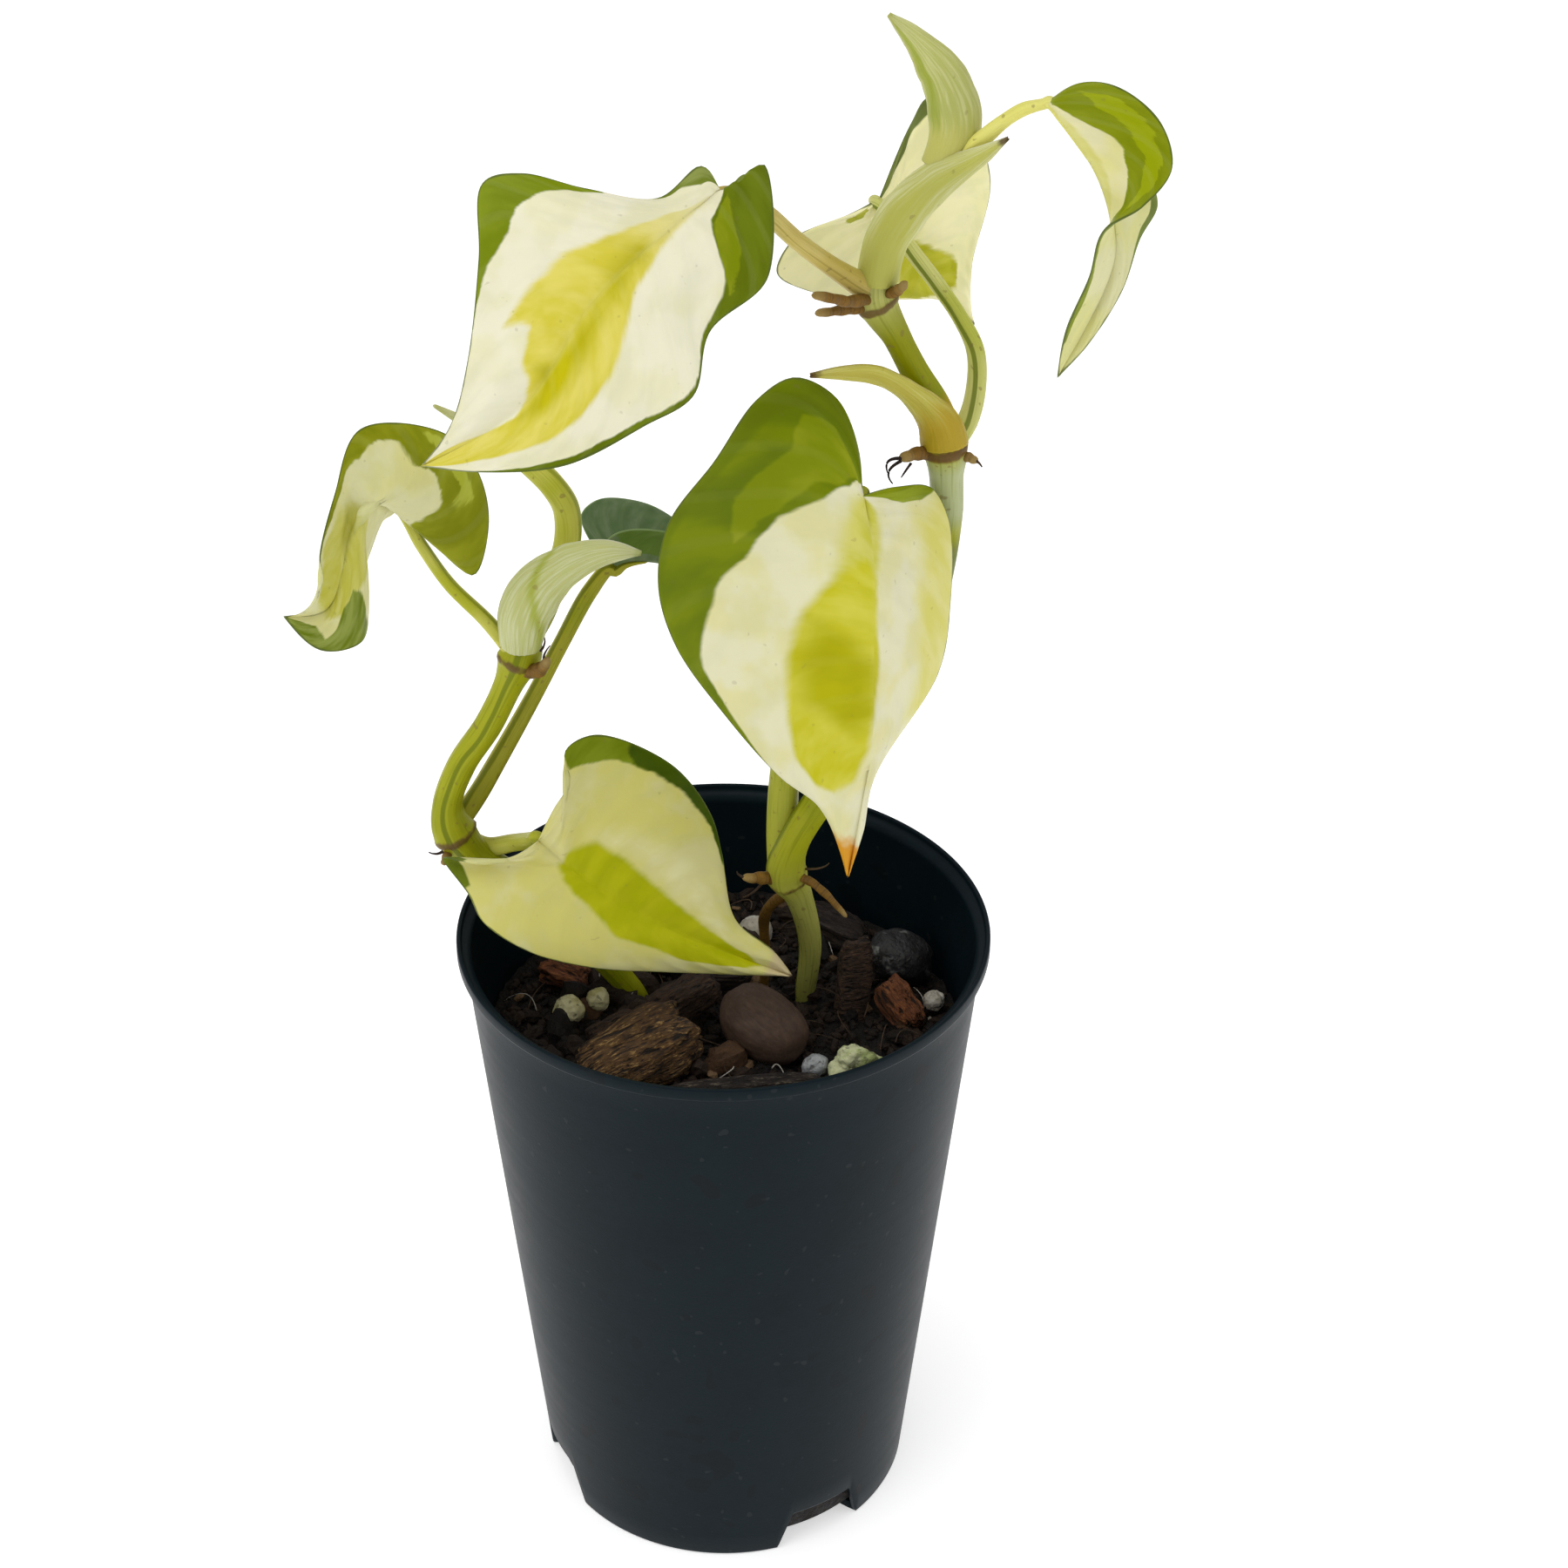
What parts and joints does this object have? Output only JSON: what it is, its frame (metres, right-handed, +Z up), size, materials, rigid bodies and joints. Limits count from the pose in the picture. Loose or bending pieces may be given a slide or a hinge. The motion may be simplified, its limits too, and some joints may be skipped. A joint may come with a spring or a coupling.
{
  "type": "potted philodendron",
  "caption": "Young trailing philodendron with cream and green heart-shaped leaves, rooted in bark mix in a small round black nursery pot.",
  "frame": {"origin": "centre of the pot's underside, on the surface it stands on", "axes": "+Z up along the pot's axis; -Y towards the open side of the plant, where most leaves face; +X to the right seen from there"},
  "size_m": [0.0913, 0.064, 0.1925],
  "materials": {
    "pot_plastic": "satin",
    "bark_mix": "matte",
    "bark": "matte",
    "nugget": "matte",
    "pebble": "matte",
    "perlite": "matte",
    "stem": "satin",
    "leaf": "satin",
    "sheath": "satin",
    "root": "matte"
  },
  "bodies": {
    "root": {"aerial_root_down": "root", "aerial_root_high": "root", "aerial_root_high_lower": "root", "aerial_root_low_left": "root", "aerial_root_low_right": "root", "aerial_root_middle_left": "root", "aerial_root_middle_right": "root", "aerial_root_side": "root", "aerial_root_side_low": "root", "bark_back": "bark", "bark_centre": "bark", "bark_flake": "bark", "bark_front": "bark", "bark_front_low": "bark", "bark_front_right": "bark", "bark_left": "bark", "bark_orange_left": "bark", "bark_orange_right": "bark", "bark_rear": "bark", "bark_rear_right": "bark", "bark_sliver": "bark", "leaf_back_green": "leaf", "leaf_back_upper": "leaf", "leaf_centre": "leaf", "leaf_curled": "leaf", "leaf_lower_left": "leaf", "leaf_new_rolled": "leaf", "leaf_top_right": "leaf", "leaf_upper_left": "leaf", "main_root_back": "root", "main_root_front": "root", "main_vine": "stem", "nugget": "nugget", "pebble": "pebble", "perlite_back": "perlite", "perlite_green": "perlite", "perlite_grey": "perlite", "perlite_left": "perlite", "perlite_left_front": "perlite", "perlite_right": "perlite", "petiole_back_green": "stem", "petiole_back_upper": "stem", "petiole_centre": "stem", "petiole_curled": "stem", "petiole_lower_left": "stem", "petiole_new_leaf": "stem", "petiole_top_right": "stem", "petiole_upper_left": "stem", "pot": "pot_plastic", "potting_mix": "bark_mix", "sheath_dried": "sheath", "sheath_top": "sheath", "sheath_translucent": "sheath", "sheath_upper": "sheath", "side_root_back": "root", "side_root_front": "root", "side_vine": "stem"}
  },
  "joints": []
}
